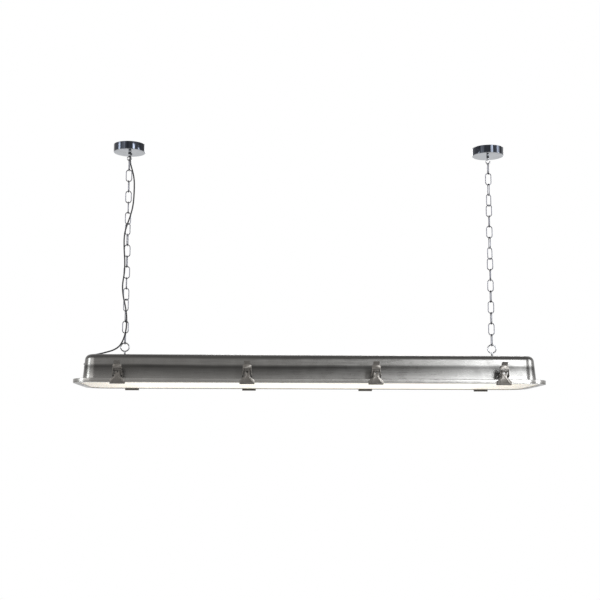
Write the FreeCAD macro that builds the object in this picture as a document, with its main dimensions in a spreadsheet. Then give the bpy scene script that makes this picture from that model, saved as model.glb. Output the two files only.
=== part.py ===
"""Hanging shop light: a pressed steel trough with an opal lens, held shut by eight toggle
latches, hung level on two chains from two ceiling canopies.

Millimetres. +X runs along the lamp, -Y is its front, +Z is up. The origin lies on the ceiling,
midway between the two canopies.
"""
import FreeCAD, Part
import math
import os
import re
import Sketcher

Vector = FreeCAD.Vector
Rotation = FreeCAD.Rotation
Placement = FreeCAD.Placement

# ---------------------------------------------------------------- driving dimensions
SIZES = [
    # ceiling end of each suspension
    ("chain_inset", 137, "flange's end to the chain"),
    ("canopy_radius", 50, "outside of the canopy"),
    ("canopy_height", 25, "ceiling to the canopy's underside"),
    ("canopy_wall", 1.5, "spun sheet of the canopy"),
    ("canopy_edge", 1.4, "bevel at the canopy's lower edge"),
    ("strap_length", 84, "ceiling strap, foot to foot"),
    ("strap_width", 18, "ceiling strap"),
    ("strap_wall", 2, "ceiling strap"),
    ("strap_drop", 13, "ceiling to the underside of the strap's bridge"),
    ("strap_bridge", 40, "length of the bridge between the two legs"),
    ("screw_spacing", 64, "ceiling screws of one strap"),
    ("screw_hole", 4.5, "diameter of a ceiling screw's hole"),
    ("stem_width", 8, "diameter of the hook's visible stem"),
    ("stem_length", 11, "canopy's underside to the hook's loop"),
    ("stud_width", 6, "diameter of the hook's threaded stud"),
    ("stud_play", 0.3, "radial play of a stud in a sheet hole"),
    ("stud_end", 6, "ceiling to the top of the stud"),
    ("nut_flats", 10, "across the flats of each stud nut"),
    ("nut_height", 5, "stud nut"),
    ("hook_wire", 3.5, "wire of the hook"),
    ("hook_inner", 9, "inside diameter of the hook's loop"),
    ("hook_sweep", 300, "degrees of the hook's loop"),
    # chain
    ("link_wire", 3, "across the flats of a link's wire"),
    ("link_inner_length", 34.8, "inside length of a link"),
    ("link_inner_width", 14.5, "inside width of a link"),
    ("link_play", 0.3, "play where two pieces hang in each other"),
    ("chain_links", 15, "links between the top and the bottom link"),
    # eye bolts on the lamp
    ("ring_wire", 4, "wire of the eye"),
    ("ring_inner", 22, "inside diameter of the eye"),
    ("ring_neck", 18, "underside of the eye to the casing's top"),
    ("washer_width", 16, "flange of an eye bolt's nut"),
    ("washer_wall", 1.5, "flange of an eye bolt's nut"),
    # casing
    ("end_room", 110, "flange beyond each end of the tubes"),
    ("flange_width", 362, "outside of the flange"),
    ("flange_corner", 70, "corner radius of the flange"),
    ("flange_overhang", 28, "flange beyond the wall's foot"),
    ("casing_height", 74, "flange's top to the casing's top"),
    ("draft_angle", 5.5, "degrees that the walls lean in"),
    ("top_fillet", 17, "outer radius along the casing's top"),
    ("sheet_wall", 1.5, "pressed sheet of the casing"),
    ("rim_depth", 9, "turned-down rim of the flange"),
    # lens and its frame
    ("rim_gap", 0.3, "between the casing's rim and the frame's rim"),
    ("frame_wall", 1.5, "sheet of the lens frame"),
    ("frame_rim", 2.7, "height of the frame's upturned rim"),
    ("frame_ledge", 20, "width of the frame's ledge"),
    ("lens_wall", 3, "opal sheet"),
    ("lens_gap", 2, "lens to the frame's rim"),
    ("gasket_width", 12, "foam gasket"),
    ("gasket_inset", 7, "gasket inside the flange's outline"),
    # gear tray and lamps
    ("tray_room", 45, "tray beyond each end of the tubes"),
    ("tray_width", 236, "white gear tray"),
    ("tray_wall", 1, "white gear tray"),
    ("tray_lip", 12, "height of the tray's folded sides"),
    ("tray_drop", 20, "casing's top to the tray's top"),
    ("spacer_width", 10, "across the flats of the posts between casing and tray"),
    ("spacer_inset", 150, "tube's end to the spacer"),
    ("tube_spacing", 120, "the two tubes, axis to axis"),
    ("tube_width", 26, "diameter of a tube"),
    ("tube_length", 1200, "tube over its end caps"),
    ("tube_drop", 27, "tray's underside to the tube's axis"),
    ("cap_length", 18, "end cap of a tube"),
    ("tube_pin_width", 2.4, "diameter of a contact pin"),
    ("tube_pin_length", 7, "contact pin"),
    ("tube_pin_spacing", 12.7, "two contact pins"),
    ("holder_wall", 9, "lampholder along the lamp"),
    ("holder_width", 30, "lampholder across the lamp"),
    ("holder_gap", 0.5, "tube's end cap to the lampholder"),
    # toggle latches
    ("latch_inset", 140, "flange's end to the first latch"),
    ("latch_sheet", 1.5, "sheet of the latch's parts"),
    ("pivot_out", 5, "lever's pivot beyond the flange's edge"),
    ("pivot_up", 12, "lever's pivot above the flange's top"),
    ("claw_pivot_up", 11.9, "claw's pivot above the lever's pivot"),
    ("claw_pivot_in", 1.5, "claw's pivot behind the lever's pivot"),
    ("latch_pin", 4, "diameter of the latch's pins"),
    ("pin_play", 0.05, "radial play of a turning pin"),
    ("stub_end", 1, "pivot stub beyond the cheek"),
    ("cheek_inner", 26.2, "between the bracket's two cheeks"),
    ("cheek_nose", 5, "radius of a cheek round the pivot"),
    ("lever_width", 25.6, "outside of the lever's two arms"),
    ("lever_face", 7.3, "lever's pivot to the front of its web"),
    ("lever_slot", 16, "lever's pivot to the lower edge of its web"),
    ("lever_height", 30, "lever's pivot to the top of its web"),
    ("tab_width", 18, "finger tab"),
    ("tab_reach", 9, "finger tab, outwards and upwards"),
    ("shank_width", 17, "claw's shank"),
    ("claw_width", 44, "claw's foot"),
    ("claw_hook", 10.6, "claw's hook under the frame"),
    ("claw_drop", 5, "claw's hook below the frame"),
    ("claw_gap", 0.3, "claw's hook to the frame"),
    ("claw_hole", 6, "hole in the claw's shank"),
    ("claw_eye", 7, "outside diameter of the claw's rolled eye"),
    # cable entries
    ("cord_width", 4.5, "flexible cord"),
    ("bush_width", 9, "diameter of the cord's bush in the canopy"),
    ("bush_flange", 13, "collar of the bush"),
    ("bush_depth", 4, "bush below the canopy"),
    ("bush_offset", 17, "canopy's centre to the cord's bush"),
    ("gland_drop", 34, "casing's top to the end gland's axis"),
    ("gland_thread", 16, "thread of the end gland"),
    ("gland_flats", 18, "hexagon and locknut of the end gland"),
    ("gland_hex", 4, "thickness of the end gland's hexagon and locknut"),
    ("gland_body", 16, "width of the end gland's elbow block"),
    ("gland_out", 11, "casing's end wall to the elbow's riser"),
    ("gland_riser", 10, "elbow's centre to its nut"),
    ("gland_nut", 7, "height of the elbow's nut"),
    ("gland_nut_flats", 17, "across the flats of the elbow's nut"),
]

# sizes that follow from the driving ones
DERIVED = [
    ("flange_length", "tube_length + 2 * end_room", "outside of the flange"),
    ("chain_spacing", "flange_length - 2 * chain_inset", "from one chain to the other"),
    ("tray_length", "tube_length + 2 * tray_room", "white gear tray"),
    ("spacer_spacing", "tube_length - 2 * spacer_inset", "spacers along the lamp"),
    ("latch_spacing", "(flange_length - 2 * latch_inset) / 3", "from one latch to the next"),
]

doc = FreeCAD.newDocument("ShopLight")
sheet = doc.addObject("Spreadsheet::Sheet", "Sizes")
for row, (alias, number, meaning) in enumerate(SIZES, start=1):
    sheet.set("A%d" % row, alias)
    sheet.set("B%d" % row, str(number))
    sheet.set("C%d" % row, meaning)
    sheet.setAlias("B%d" % row, alias)
doc.recompute()
for row, (alias, text, meaning) in enumerate(DERIVED, start=len(SIZES) + 1):
    sheet.set("A%d" % row, alias)
    sheet.set("B%d" % row, "=" + text)
    sheet.set("C%d" % row, meaning)
    sheet.setAlias("B%d" % row, alias)
    doc.recompute()
NAMES = {alias for alias, size, meaning in SIZES + DERIVED}


def formula(text):
    """A formula over the named sizes, as the document's expressions want it."""
    return re.sub(r"[a-z_]+", lambda word: "Sizes." + word[0] if word[0] in NAMES else word[0], str(text))


def value(text):
    """What a formula over the named sizes comes to now."""
    return float(sheet.evalExpression(formula(text)))


# ---------------------------------------------------------------- levels and places, as formulas
DRAFT = "tan(draft_angle * 1 deg)"
LINK_PITCH = "(link_inner_length - link_play)"
HOOK_WIRE_Z = "(-canopy_height - stem_length - 1.5 * hook_wire - hook_inner)"
FIRST_SEAT_Z = "(%s + hook_wire / 2 + link_play)" % HOOK_WIRE_Z
RING_Z = "(%s - (chain_links + 2) * %s - ring_inner / 2)" % (FIRST_SEAT_Z, LINK_PITCH)
CASING_TOP = "(%s - ring_inner / 2 - ring_wire - ring_neck)" % RING_Z
FLANGE_TOP = "(%s - casing_height)" % CASING_TOP
FRAME_BOTTOM = "(%s - rim_depth - rim_gap - frame_rim)" % FLANGE_TOP
LENS_TOP = "(%s + frame_wall + lens_wall)" % FRAME_BOTTOM
TRAY_TOP = "(%s - tray_drop)" % CASING_TOP
TUBE_Z = "(%s - tray_wall - tube_drop)" % TRAY_TOP
BASE_LENGTH = "(flange_length - 2 * flange_overhang)"
BASE_WIDTH = "(flange_width - 2 * flange_overhang)"
BASE_CORNER = "(flange_corner - flange_overhang)"
CHAIN_X = "(chain_spacing / 2)"
GLAND_Z = "(%s - gland_drop)" % CASING_TOP
GLAND_WALL_X = "(-(%s / 2 - (casing_height - gland_drop) * %s))" % (BASE_LENGTH, DRAFT)
KNEE_X = "(%s - gland_out * cos(draft_angle * 1 deg))" % GLAND_WALL_X
KNEE_Z = "(%s + gland_out * sin(draft_angle * 1 deg))" % GLAND_Z
MOUTH_Z = "(%s + gland_riser + gland_nut)" % KNEE_Z

nodes = []


# ---------------------------------------------------------------- builders
def keep(thing, name):
    """Makes an object one of the lamp's sub-parts, written to a file of its own name."""
    thing.Label = name
    nodes.append(thing)
    return thing


def bind(thing, **sizes):
    """Ties properties of an object to formulas."""
    for name, text in sizes.items():
        thing.setExpression(name.replace("__", "."), formula(text))
    return thing


def at(thing, along="0", across="0", up="0"):
    """Puts an object at a place given by formulas."""
    thing.setExpression("Placement.Base.x", formula(along))
    thing.setExpression("Placement.Base.y", formula(across))
    thing.setExpression("Placement.Base.z", formula(up))
    return thing


def box(name, length, width, height, along, across, up):
    """A block centred on its place in X and Y, standing on it in Z."""
    block = bind(doc.addObject("Part::Box", name), Length=length, Width=width, Height=height)
    return at(block, "%s - (%s) / 2" % (along, length), "%s - (%s) / 2" % (across, width), up)


def rod(name, width, height, along, across, up, turn=Rotation()):
    """A cylinder from its place along +Z, or along where the rotation takes +Z."""
    cylinder = bind(doc.addObject("Part::Cylinder", name), Radius="(%s) / 2" % width, Height=height)
    cylinder.Placement.Rotation = turn
    return at(cylinder, along, across, up)


def prism(name, sides, flats, height, along, across, up, turn=Rotation()):
    """A regular prism, sized across its flats, placed as a rod is."""
    block = bind(doc.addObject("Part::Prism", name),
                 Circumradius="(%s) / 2 / cos(%s deg)" % (flats, 180 / sides), Height=height)
    block.Polygon = sides
    block.Placement.Rotation = turn
    return at(block, along, across, up)


def hexagon(name, flats, height, along, across, up, turn=Rotation()):
    return prism(name, 6, flats, height, along, across, up, turn)


def fuse(name, *pieces):
    joined = doc.addObject("Part::MultiFuse", name)
    joined.Shapes = list(pieces)
    joined.Refine = True
    return joined


def cut(name, base, *tools):
    tool = tools[0] if len(tools) == 1 else fuse(name + "_tools", *tools)
    result = doc.addObject("Part::Cut", name)
    result.Base = base
    result.Tool = tool
    return result


def chamfer(name, base, amount):
    """A chamfer on every edge of an object."""
    doc.recompute()
    feature = doc.addObject("Part::Chamfer", name)
    feature.Base = base
    size = value(amount)
    feature.Edges = [(i + 1, size, size) for i in range(len(base.Shape.Edges))]
    return feature


def group(name, *pieces):
    """Separate solids that share one node."""
    together = doc.addObject("Part::Compound", name)
    together.Links = list(pieces)
    return together


def new_body(name):
    body = doc.addObject("PartDesign::Body", name)
    body.Label = name
    return body


def new_sketch(body, plane_role, offset="0"):
    """A sketch on one of the body's own origin planes, moved along that plane's normal."""
    sketch = body.newObject("Sketcher::SketchObject", body.Name + "_sketch")
    plane = [part for part in body.Origin.OriginFeatures if part.Role == plane_role][0]
    sketch.AttachmentSupport = (plane, [""])
    sketch.MapMode = "FlatFace"
    sketch.setExpression("AttachmentOffset.Base.z", formula(offset))
    return sketch


def draw_outline(sketch, points):
    """A closed outline of straight lines through points given as pairs of formulas."""
    first = sketch.GeometryCount
    corners = [Vector(value(x), value(y), 0) for x, y in points]
    count = len(points)
    for i in range(count):
        sketch.addGeometry(Part.LineSegment(corners[i], corners[(i + 1) % count]))
    for i in range(count):
        sketch.addConstraint(Sketcher.Constraint("Coincident", first + i, 2, first + (i + 1) % count, 1))
    for i, (x, y) in enumerate(points):
        for kind, text, now in (("DistanceX", x, corners[i].x), ("DistanceY", y, corners[i].y)):
            index = sketch.addConstraint(Sketcher.Constraint(kind, -1, 1, first + i, 1, now))
            sketch.setExpression("Constraints[%d]" % index, formula(text))


def draw_circle(sketch, width, x, y):
    index = sketch.addGeometry(Part.Circle(Vector(value(x), value(y), 0), Vector(0, 0, 1), value(width) / 2))
    for kind, text in (("DistanceX", x), ("DistanceY", y)):
        place = sketch.addConstraint(Sketcher.Constraint(kind, -1, 1, index, 3, value(text)))
        sketch.setExpression("Constraints[%d]" % place, formula(text))
    size = sketch.addConstraint(Sketcher.Constraint("Diameter", index, value(width)))
    sketch.setExpression("Constraints[%d]" % size, formula(width))


def draw_polygon(sketch, sides, flats, x, y):
    """A regular polygon, sized across its flats, with a corner towards +X."""
    reach = "(%s) / 2 / cos(%s deg)" % (flats, 180 / sides)
    turns = [math.radians(360 * i / sides) for i in range(sides)]
    draw_outline(sketch, [("%s + %s * %.6f" % (x, reach, math.cos(turn)),
                           "%s + %s * %.6f" % (y, reach, math.sin(turn))) for turn in turns])


def draw_rounded(sketch, length, width, corner):
    """A rectangle with round corners, centred on the sketch's origin."""
    far_x, far_y, radius = value(length) / 2, value(width) / 2, value(corner)
    near_x, near_y = far_x - radius, far_y - radius
    first = sketch.GeometryCount
    corners = [(near_x, -near_y, -90), (near_x, near_y, 0), (-near_x, near_y, 90), (-near_x, -near_y, 180)]
    sides = [((-near_x, -far_y), (near_x, -far_y)), ((far_x, -near_y), (far_x, near_y)),
             ((near_x, far_y), (-near_x, far_y)), ((-far_x, near_y), (-far_x, -near_y))]
    for (x, y, start), (begin, end) in zip(corners, sides):
        sketch.addGeometry(Part.LineSegment(Vector(*begin, 0), Vector(*end, 0)))
        circle = Part.Circle(Vector(x, y, 0), Vector(0, 0, 1), radius)
        sketch.addGeometry(Part.ArcOfCircle(circle, math.radians(start), math.radians(start + 90)))
    for i in range(4):
        line, arc, following = first + 2 * i, first + 2 * i + 1, first + (2 * i + 2) % 8
        sketch.addConstraint(Sketcher.Constraint("Tangent", line, 2, arc, 1))
        sketch.addConstraint(Sketcher.Constraint("Tangent", arc, 2, following, 1))
        sketch.addConstraint(Sketcher.Constraint("Vertical" if i % 2 else "Horizontal", line))
        if i:
            sketch.addConstraint(Sketcher.Constraint("Equal", first + 1, arc))
    sketch.addConstraint(Sketcher.Constraint("Symmetric", first + 1, 3, first + 5, 3, -1, 1))
    sized = ((Sketcher.Constraint("Radius", first + 1, radius), corner),
             (Sketcher.Constraint("DistanceX", first + 6, 1, first + 2, 1, 2 * far_x), length),
             (Sketcher.Constraint("DistanceY", first, 1, first + 4, 1, 2 * far_y), width))
    for constraint, text in sized:
        index = sketch.addConstraint(constraint)
        sketch.setExpression("Constraints[%d]" % index, formula(text))


def pad(body, sketch, length, side="One side", draft=None):
    feature = body.newObject("PartDesign::Pad", body.Name + "_pad")
    feature.Profile = sketch
    feature.SideType = side
    feature.setExpression("Length", formula(length))
    if draft:
        feature.setExpression("TaperAngle", formula(draft))
    sketch.Visibility = False
    return feature


def pocket(body, sketch, length=None, side="One side", reverse=False, draft=None):
    feature = body.newObject("PartDesign::Pocket", body.Name + "_pocket")
    feature.Profile = sketch
    feature.SideType = side
    feature.Reversed = reverse
    if length is None:
        feature.Type = "ThroughAll"
    else:
        feature.setExpression("Length", formula(length))
    if draft:
        feature.setExpression("TaperAngle", formula(draft))
    return feature


def round_edges(body, radius, chosen):
    """A fillet on those edges of the body's last feature that the function chooses."""
    doc.recompute()
    base = body.Tip
    names = ["Edge%d" % (i + 1) for i, edge in enumerate(base.Shape.Edges) if chosen(edge)]
    feature = body.newObject("PartDesign::Fillet", body.Name + "_fillet")
    feature.Base = (base, names)
    feature.setExpression("Radius", formula(radius))
    return feature


def level_edges(up):
    """Chooses the edges that lie flat at one height."""
    height = value(up)

    def chosen(edge):
        low, high = edge.BoundBox.ZMin, edge.BoundBox.ZMax
        return abs(low - height) < 0.01 and abs(high - height) < 0.01
    return chosen


def copy_of(master, name, along, across, up, turn=0):
    """A stamped copy of a master shape, turned about Z and put at its place."""
    doc.recompute()
    twin = doc.addObject("Part::Feature", name)
    twin.Shape = master.Shape.copy()
    twin.Placement = Placement(Vector(), Rotation(Vector(0, 0, 1), turn))
    return at(twin, along, across, up)


def wire_loop(wire, bend, half_straight, sides, steps, sweep=360):
    """A bent wire with flat faces in the XZ plane, round the origin.

    It starts at the side towards -X and runs by way of -Z. The wire follows two half circles and,
    where half_straight isn't nought, the straight sides between them. A sweep of less than 360
    degrees leaves the loop open at its end.
    """
    reach = wire / 2 / math.cos(math.pi / sides)
    step_angle = 180 / steps
    middle_out = 1 / math.cos(math.radians(step_angle / 2)) if steps % 2 else 1
    rings = []
    for end, start in ((-1, 180), (1, 360)):
        for step in range(steps + 1):
            turn = start + step * step_angle
            if turn - 180 > sweep + 0.001 or (half_straight == 0 and end == 1 and step == 0):
                continue
            outward = Vector(math.cos(math.radians(turn)), 0, math.sin(math.radians(turn)))
            on_bend = 1 if step in (0, steps) else middle_out
            ring = []
            for corner in range(sides):
                spoke = math.radians(360 * (corner + 0.5) / sides)
                lift = Vector(0, reach * math.sin(spoke), 0)
                radial = (bend + reach * math.cos(spoke)) * on_bend
                ring.append(Vector(0, 0, end * half_straight) + outward * radial + lift)
            rings.append(ring)
    closed = sweep == 360
    if closed and half_straight == 0:
        rings.pop()
    following = rings[1:] + rings[:1] if closed else rings[1:]
    faces = []
    for this, that in zip(rings, following):
        for corner in range(sides):
            beside = (corner + 1) % sides
            quad = [this[corner], that[corner], that[beside], this[beside], this[corner]]
            faces.append(Part.Face(Part.makePolygon(quad)))
    if not closed:
        for ring in (rings[0], rings[-1]):
            faces.append(Part.Face(Part.makePolygon(ring + ring[:1])))
    solid = Part.Solid(Part.Shell(faces))
    if solid.Volume < 0:
        solid.reverse()
    return solid


def loop_feature(name, shape, turn, along, across, up):
    """Puts a bent wire into the document, turned and at its place."""
    feature = doc.addObject("Part::Feature", name)
    feature.Shape = shape
    feature.Placement = Placement(Vector(), turn)
    return at(feature, along, across, up)


# ---------------------------------------------------------------- ceiling canopies
def canopy(side, along, has_cord):
    """A spun cup, open to the ceiling, with a hole for the hook's stud."""
    body = new_body("canopy_" + side)
    sketch = new_sketch(body, "XZ_Plane")
    hole = "(stud_width / 2 + stud_play)"
    draw_outline(sketch, [
        (hole, "-canopy_height"),
        ("canopy_radius - canopy_edge", "-canopy_height"),
        ("canopy_radius - 0.3 * canopy_edge", "-canopy_height + 0.3 * canopy_edge"),
        ("canopy_radius", "-canopy_height + canopy_edge"),
        ("canopy_radius", "0"),
        ("canopy_radius - canopy_wall", "0"),
        ("canopy_radius - canopy_wall", "-canopy_height + canopy_wall"),
        (hole, "-canopy_height + canopy_wall"),
    ])
    turned = body.newObject("PartDesign::Revolution", body.Name + "_turned")
    turned.Profile = sketch
    turned.ReferenceAxis = (sketch, ["V_Axis"])
    turned.Angle = 360
    if has_cord:
        hole_sketch = new_sketch(body, "XY_Plane", "-canopy_height")
        draw_polygon(hole_sketch, 16, "bush_width", "0", "bush_offset")
        pocket(body, hole_sketch, "2 * canopy_wall", "Symmetric")
    return at(body, along)


def strap(side, along):
    """The hat-shaped strap that is screwed to the ceiling and carries the hook."""
    body = new_body("ceiling_strap_" + side)
    sketch = new_sketch(body, "YZ_Plane")
    outer, inner = "strap_length / 2", "strap_bridge / 2"
    draw_outline(sketch, [
        ("-" + outer, "0"),
        ("-" + outer, "-strap_wall"),
        ("-%s - strap_wall" % inner, "-strap_wall"),
        ("-%s - strap_wall" % inner, "-strap_drop"),
        ("%s + strap_wall" % inner, "-strap_drop"),
        ("%s + strap_wall" % inner, "-strap_wall"),
        (outer, "-strap_wall"),
        (outer, "0"),
        (inner, "0"),
        (inner, "-strap_drop + strap_wall"),
        ("-" + inner, "-strap_drop + strap_wall"),
        ("-" + inner, "0"),
    ])
    pad(body, sketch, "strap_width", "Symmetric")
    holes = new_sketch(body, "XY_Plane")
    draw_polygon(holes, 12, "stud_width + 2 * stud_play", "0", "0")
    draw_circle(holes, "screw_hole", "0", "screw_spacing / 2")
    draw_circle(holes, "screw_hole", "0", "-screw_spacing / 2")
    pocket(body, holes, "2 * strap_drop + strap_wall", "Symmetric")
    return at(body, along)


def hook(side, along):
    """A stud that turns into an open hook, with a shoulder that carries the canopy."""
    stud = rod("hook_stud_" + side, "stud_width", "canopy_height - stud_end", along, "0", "-canopy_height")
    stem = rod("hook_stem_" + side, "stem_width", "stem_length + hook_wire / 2", along, "0",
               "-canopy_height - stem_length - hook_wire / 2")
    bend = value("(hook_inner + hook_wire) / 2")
    wire = wire_loop(value("hook_wire"), bend, 0, sides=8, steps=6, sweep=value("hook_sweep"))
    loop = loop_feature("hook_loop_" + side, wire, Rotation(Vector(0, 1, 0), 90), along, "0",
                        "-canopy_height - stem_length - hook_wire - hook_inner / 2")
    return fuse("hook_" + side, stud, stem, loop)


def stud_nuts():
    """Each hook's nut above its strap."""
    nuts = []
    for side, sign in (("left", "-"), ("right", "")):
        along = sign + CHAIN_X
        up = "-strap_drop + strap_wall"
        blank = hexagon("hook_nut_blank_" + side, "nut_flats", "nut_height", along, "0", up)
        bore = hexagon("hook_nut_bore_" + side, "stud_width", "nut_height", along, "0", up)
        nuts.append(cut("hook_nut_" + side, blank, bore))
    return keep(group("hook_nut_group", *nuts), "hook_nuts")


def canopy_terminal():
    """The two-pole terminal block that stands on the left canopy's floor."""
    along = "-%s + 22" % CHAIN_X
    body = box("terminal_body", "10", "22", "9", along, "0", "-canopy_height + canopy_wall")
    screws = [prism("terminal_screw_%d" % i, 8, "4", "1", along, str(5 * (2 * i - 1)),
                    "-canopy_height + canopy_wall + 9") for i in (0, 1)]
    return keep(fuse("terminal_fused", body, *screws), "ceiling_terminal_block")


def cord_bush():
    """The bush that grips the cord in the left canopy's underside."""
    along = "-%s" % CHAIN_X
    barrel = prism("bush_barrel", 16, "bush_width", "canopy_wall + bush_depth", along, "bush_offset",
                   "-canopy_height - bush_depth")
    collar = hexagon("bush_collar", "bush_flange", "bush_depth / 2", along, "bush_offset",
                     "-canopy_height - bush_depth / 2")
    return keep(fuse("bush_fused", barrel, collar), "cord_bush")


# ---------------------------------------------------------------- chains
def link_shape():
    """One welded link standing in the XZ plane, its inside top at the origin."""
    wire = value("link_wire")
    bend = (value("link_inner_width") + wire) / 2
    half_straight = (value("link_inner_length") + wire) / 2 - bend
    link = wire_loop(wire, bend, half_straight, sides=6, steps=5)
    link.translate(Vector(0, 0, -value("link_inner_length") / 2))
    return link


def slip(link, middle):
    """How far, from 0 to 1, a chain has taken up a quarter turn centred on one of its links."""
    reach = 2.0
    t = min(1, max(0, (link - middle + reach) / (2 * reach)))
    return t * t * (3 - 2 * t)


def link_turn(link, slips):
    """A link's turn about the chain: a quarter turn per link, and the chain's own twist."""
    return 90 * (link + 1) + 90 * sum(slip(link, middle) for middle in slips)


def placed_link(link, side, slips):
    shape = link_shape()
    shape.rotate(Vector(), Vector(0, 0, 1), link_turn(link, slips))
    seat = value(FIRST_SEAT_Z) - link * value(LINK_PITCH)
    shape.translate(Vector(side * value(CHAIN_X), 0, seat))
    return shape


def chain(side_name, side, slips):
    """A chain's top link, its middle links and its bottom link."""
    count = int(value("chain_links"))
    stretches = (("top_link_", [0]), ("chain_", range(1, count + 1)), ("bottom_link_", [count + 1]))
    for label, links in stretches:
        stretch = doc.addObject("Part::Feature", label + side_name)
        shapes = [placed_link(link, side, slips) for link in links]
        stretch.Shape = shapes[0] if len(shapes) == 1 else Part.makeCompound(shapes)
        keep(stretch, label + side_name)


# ---------------------------------------------------------------- flexible cord
CORD_SIDES = 8


def cord_tube(points, width):
    """Straight runs joined by tangent arcs, each arc as large as its shorter run allows.

    The section is a regular polygon whose corners lie on the cord's own circle.
    """
    first = (points[1] - points[0]).normalize()
    across = first.cross(Vector(0.3, 1, 0)).normalize()
    rim = [points[0] + Rotation(first, 360 * (i + 0.5) / CORD_SIDES).multVec(across) * (width / 2)
           for i in range(CORD_SIDES)]
    disc = Part.Face(Part.makePolygon(rim + rim[:1]))
    pieces = []
    radii = []
    length = 0
    start = points[0]
    for before, corner, after in zip(points, points[1:], points[2:]):
        come, go = (corner - before), (after - corner)
        reach = 0.45 * min(come.Length, go.Length)
        come.normalize()
        go.normalize()
        turn = come.getAngle(go)
        radius = reach / math.tan(turn / 2)
        radii.append(radius)
        axis = come.cross(go).normalize()
        straight = (corner - start).Length - reach
        pieces.append(disc.extrude(come * straight))
        disc.translate(come * straight)
        entry = corner - come * reach
        centre = entry + axis.cross(come) * radius
        pieces.append(disc.revolve(centre, axis, math.degrees(turn)))
        disc.rotate(centre, axis, math.degrees(turn))
        start = corner + go * reach
        length += straight + radius * turn
    pieces.append(disc.extrude(points[-1] - start))
    length += (points[-1] - start).Length
    tube = pieces[0].multiFuse(pieces[1:]).removeSplitter()
    tube = tube.Solids[0] if len(tube.Solids) == 1 else tube
    expected = CORD_SIDES / 2 * (width / 2) ** 2 * math.sin(2 * math.pi / CORD_SIDES) * length
    print("cord: length %.0f mm, volume %.4f of section times length" % (length, tube.Volume / expected))
    print("cord radii:", " ".join("%.0f" % radius for radius in radii))
    return tube


def power_cord():
    """The flexible cord: from the left canopy's bush, round the chain, to the gland on the end wall."""
    along = -value(CHAIN_X)
    beside_chain = [
        (0, 17, -29), (0, 17, -52), (9, 13.5, -80), (16.5, 5, -110), (18, -2, -150),
        (16.5, -6.5, -196), (9, -13.5, -234), (-1, -15.5, -263), (-9, -13, -293), (-8.5, -13, -335),
        (-4.5, -15, -378), (-5, -15, -415), (-11.5, -11, -452), (-8, -13, -487), (0, -15.5, -518),
        (5.5, -14.5, -552), (5, -14.5, -589), (-2, -13, -620),
    ]
    past_ring = [(0.13, -9, -644), (0.293, -5, -655.5), (0.474, -2.5, -661.5), (0.646, -1, -666.5),
                 (0.801, 0, -670)]
    route = [Vector(along + x, y, z) for x, y, z in beside_chain]
    mouth = Vector(value(KNEE_X), 0, value(MOUTH_Z))
    route += [Vector(along + part * (mouth.x - along), y, z) for part, y, z in past_ring]
    route += [mouth + Vector(8, 0, 22.5), mouth + Vector(0, 0, 12), mouth]
    cord = doc.addObject("Part::Feature", "power_cord")
    cord.Shape = cord_tube(route, value("cord_width"))
    return keep(cord, "power_cord")


# ---------------------------------------------------------------- casing
def casing():
    """The pressed trough: leaning walls, rounded top, flange and turned-down rim, one sheet."""
    body = new_body("casing_sheet")
    foot = new_sketch(body, "XY_Plane", FLANGE_TOP)
    draw_rounded(foot, BASE_LENGTH, BASE_WIDTH, BASE_CORNER)
    pad(body, foot, "casing_height", draft="-draft_angle")
    flange = new_sketch(body, "XY_Plane", "%s - sheet_wall" % FLANGE_TOP)
    draw_rounded(flange, "flange_length", "flange_width", "flange_corner")
    pad(body, flange, "sheet_wall")
    rim = new_sketch(body, "XY_Plane", "%s - rim_depth" % FLANGE_TOP)
    draw_rounded(rim, "flange_length", "flange_width", "flange_corner")
    draw_rounded(rim, "flange_length - 2 * sheet_wall", "flange_width - 2 * sheet_wall",
                 "flange_corner - sheet_wall")
    pad(body, rim, "rim_depth - sheet_wall")
    inside = new_sketch(body, "XY_Plane", "%s - sheet_wall" % FLANGE_TOP)
    shrink = "2 * sheet_wall / cos(draft_angle * 1 deg) - 2 * sheet_wall * %s" % DRAFT
    draw_rounded(inside, "%s - (%s)" % (BASE_LENGTH, shrink), "%s - (%s)" % (BASE_WIDTH, shrink),
                 "%s - sheet_wall" % BASE_CORNER)
    pocket(body, inside, "casing_height", reverse=True, draft="-draft_angle")
    round_edges(body, "top_fillet - sheet_wall", level_edges("%s - sheet_wall" % CASING_TOP))
    round_edges(body, "top_fillet", level_edges(CASING_TOP))
    holes = new_sketch(body, "XY_Plane", CASING_TOP)
    for sign in ("-", ""):
        draw_polygon(holes, 12, "stud_width + 2 * stud_play", sign + CHAIN_X, "0")
    pocket(body, holes, "4 * sheet_wall", "Symmetric")
    gland_hole = rod("casing_gland_hole", "gland_thread + 0.6", "8 * sheet_wall",
                     "%s + 4 * sheet_wall" % GLAND_WALL_X, "0", "%s - 4 * sheet_wall * %s" % (GLAND_Z, DRAFT),
                     Rotation(Vector(0, 1, 0), -(90 - value("draft_angle"))))
    return keep(cut("casing_pierced", body, gland_hole), "casing")


def flat_ring(name, bottom, height, outer, inner):
    """A flat ring or plate that follows the casing's rounded outline."""
    body = new_body(name)
    sketch = new_sketch(body, "XY_Plane", bottom)
    draw_rounded(sketch, *outer)
    if inner:
        draw_rounded(sketch, *inner)
    pad(body, sketch, height)
    return body


def inset(amount):
    """The flange's outline drawn in by an amount."""
    return ("flange_length - 2 * (%s)" % amount, "flange_width - 2 * (%s)" % amount,
            "flange_corner - (%s)" % amount)


def lens_frame():
    """A ring with an upturned rim, in which the lens lies and on which the claws pull."""
    body = flat_ring("lens_frame", FRAME_BOTTOM, "frame_wall", inset("0"), inset("frame_ledge"))
    rim = new_sketch(body, "XY_Plane", FRAME_BOTTOM)
    draw_rounded(rim, *inset("0"))
    draw_rounded(rim, *inset("frame_wall"))
    pad(body, rim, "frame_rim")
    return keep(body, "lens_frame")


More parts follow.
